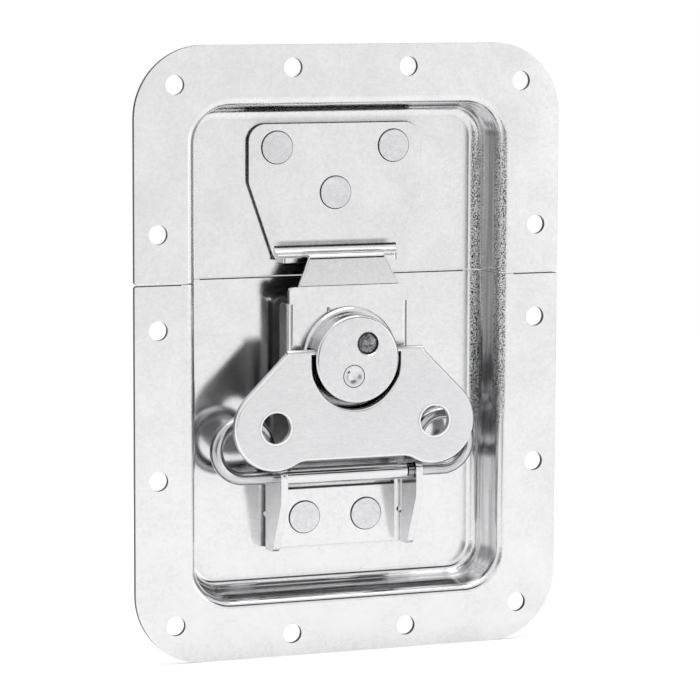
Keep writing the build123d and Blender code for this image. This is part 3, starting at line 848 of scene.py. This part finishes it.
CLOTH_ABOVE_TABLE = 1 * MM

# name, place, size (metres), power (watts); both face the latch
LAMPS = (
    ("overhead_box", (0.0, -0.2, 1.4), (1.2, 1.0), 5.0),
    ("right_box", (1.0, -1.1, 0.15), (0.8, 0.6), 0.6),
)
ROOM_LIGHT = 0.5
CAMERA_PLACE = (-0.34883, -0.89669, 0.11576)
CAMERA_AROUND, CAMERA_ABOVE, CAMERA_ROLL = -21.283, 6.858, 0.202     # degrees
SENSOR_MM, LENS_MM = 36.0, 176.9981


def mix_by_ray(add, plain, seen):
    """Parts what the camera, metal and glass see from what lights the latch."""
    ray = add("LightPath")
    camera_or_metal = add("Math", ray.outputs["Is Camera Ray"],
                          ray.outputs["Is Glossy Ray"], operation="ADD")
    any_of_three = add("Math", camera_or_metal,
                       ray.outputs["Is Transmission Ray"], operation="ADD",
                       use_clamp=True)
    return add("MixShader", any_of_three, plain, seen)


def table_paper(colour):
    """Matt white paper with a painted glow, a little stronger near the middle, that
    still takes the latch's shadow.
    """
    material, add = blank_material("white_table_paper")
    place = add("TexCoord").outputs["Object"]
    fall = add("MapRange", add("VectorMath", place, operation="LENGTH"),
               interpolation_type="SMOOTHSTEP", From_Min=0.15, From_Max=0.6,
               To_Min=0.53, To_Max=0.47)
    paper = add("BsdfDiffuse", Color=(*colour, 1))
    lit = add("AddShader", add("Emission", Strength=fall), paper)
    add("OutputMaterial", mix_by_ray(add, paper, lit))
    return material


def black_cloth(name, patches):
    """Black woven cloth that swallows light, hung thin towards its borders."""
    material, add = blank_material(name)
    place = add("TexCoord").outputs["Object"]
    split = add("SeparateXYZ", place)
    outward = add("Math", split.outputs["Y"], -1.0, operation="MULTIPLY")
    around = add("Math", split.outputs["X"], outward, operation="ARCTAN2")
    flat = add("VectorMath", place, operation="LENGTH")
    share = 0.0
    for standing, sector, reach, dark in patches:
        patch = add("Math", between(add, around, *map(math.radians, sector)),
                    between(add, split.outputs["Z"] if standing else flat,
                            *reach), operation="MULTIPLY")
        share = add("Math", share, add("Math", patch, dark,
                                       operation="MULTIPLY"),
                    operation="MAXIMUM")
    add("OutputMaterial",
        add("MixShader", share, add("BsdfTransparent"),
            add("BsdfDiffuse", Color=(*linear("272727"), 1))))
    return material


class LATCH_OT_stage(bpy.types.Operator):
    """Lay the table, hang the cloth and lamps and set the camera"""
    bl_idname = "latch.stage"
    bl_label = "Stage"

    def execute(self, context):
        scene = context.scene
        stage = scene.latch_stage
        floor = CASE_BOX[0][2]
        self.disc(stage.table_reach, floor)
        self.set_out("table", table_paper(stage.table))

        deselect()
        bpy.ops.mesh.primitive_cylinder_add(
            vertices=96, radius=CLOTH_RADIUS, depth=CLOTH_HEIGHT,
            end_fill_type="NOTHING", location=(0, 0, CLOTH_MIDDLE))
        hung = self.set_out("hung_cloth", black_cloth("hung_cloth", HUNG))
        self.disc(stage.table_reach, floor + CLOTH_ABOVE_TABLE)
        laid = self.set_out("laid_cloth", black_cloth("laid_cloth", LAID))
        for cloth in (hung, laid):
            cloth.visible_camera = False
            cloth.visible_diffuse = False
            cloth.visible_shadow = False

        for name, place, size, power in LAMPS:
            data = bpy.data.lights.new(name, "AREA")
            data.shape = "RECTANGLE"
            data.size, data.size_y = size
            data.energy = power
            lamp = bpy.data.objects.new(name, data)
            way = (-Vector(place)).to_track_quat("-Z", "Y")
            lamp.matrix_world = (Matrix.Translation(place)
                                 @ way.to_matrix().to_4x4())
            lamp.visible_camera = False
            scene.collection.objects.link(lamp)

        world = bpy.data.worlds.new("studio")
        scene.world = world
        world.use_nodes = True
        world.node_tree.nodes.clear()
        add = partial(node, world.node_tree)
        white = (*linear("FFFFFF"), 1)
        add("OutputWorld", mix_by_ray(
            add, add("Background", Color=white, Strength=ROOM_LIGHT),
            add("Background", Color=white, Strength=1.0)))

        self.camera(scene)
        scene.view_settings.view_transform = "Standard"
        return {"FINISHED"}

    def disc(self, radius, z):
        deselect()
        bpy.ops.mesh.primitive_circle_add(vertices=96, radius=radius,
                                          fill_type="NGON", location=(0, 0, z))

    def set_out(self, name, material):
        """Names the new piece of the stage and fixes its place in its mesh."""
        piece = bpy.context.object
        piece.name = name
        bpy.ops.object.transform_apply(location=True, rotation=True, scale=True)
        piece.data.materials.append(material)
        return piece

    def camera(self, scene):
        """The camera, to the left of the latch's face and a little above it."""
        around, above, roll = (math.radians(angle) for angle in (
            CAMERA_AROUND, CAMERA_ABOVE, CAMERA_ROLL))
        back = Vector((math.sin(around) * math.cos(above),
                       -math.cos(around) * math.cos(above), math.sin(above)))
        right = Vector((math.cos(around), math.sin(around), 0))
        up = back.cross(right)
        side = right * math.cos(roll) + up * math.sin(roll)
        top = up * math.cos(roll) - right * math.sin(roll)
        data = bpy.data.cameras.new("camera")
        data.sensor_width = SENSOR_MM
        data.lens = LENS_MM
        data.clip_start, data.clip_end = 0.05, 50
        camera = bpy.data.objects.new("camera", data)
        turn = Matrix((side, top, back)).transposed().to_4x4()
        camera.matrix_world = Matrix.Translation(CAMERA_PLACE) @ turn
        scene.collection.objects.link(camera)
        scene.camera = camera


class LATCH_PT_panel(bpy.types.Panel):
    """The latch's colours, sizes and steps"""
    bl_idname = "LATCH_PT_panel"
    bl_label = "Butterfly Latch"
    bl_space_type = "VIEW_3D"
    bl_region_type = "UI"
    bl_category = "Latch"

    def draw(self, context):
        layout = self.layout
        scene = context.scene
        for group in (scene.latch_finish, scene.latch_sizes, scene.latch_stage):
            box = layout.box()
            for name in group.__annotations__:
                box.prop(group, name)
        for step in STEPS:
            layout.operator(step.bl_idname)


STEPS = (LATCH_OT_finish_dish, LATCH_OT_finish_plates, LATCH_OT_finish_turned,
         LATCH_OT_seams, LATCH_OT_bright_edges, LATCH_OT_shop_marks,
         LATCH_OT_stage)
CLASSES = (LatchFinish, LatchSizes, LatchStage, *STEPS, LATCH_PT_panel)


def register():
    for cls in CLASSES:
        bpy.utils.register_class(cls)
    bpy.types.Scene.latch_finish = bpy.props.PointerProperty(type=LatchFinish)
    bpy.types.Scene.latch_sizes = bpy.props.PointerProperty(type=LatchSizes)
    bpy.types.Scene.latch_stage = bpy.props.PointerProperty(type=LatchStage)


def unregister():
    del bpy.types.Scene.latch_stage
    del bpy.types.Scene.latch_sizes
    del bpy.types.Scene.latch_finish
    for cls in reversed(CLASSES):
        bpy.utils.unregister_class(cls)


def main():
    register()
    bpy.ops.latch.finish_dish()
    bpy.ops.latch.finish_plates()
    bpy.ops.latch.finish_turned()
    bpy.ops.latch.seams()
    bpy.ops.latch.bright_edges()
    bpy.ops.latch.shop_marks()
    bpy.ops.latch.stage()


if __name__ == "__main__":
    main()
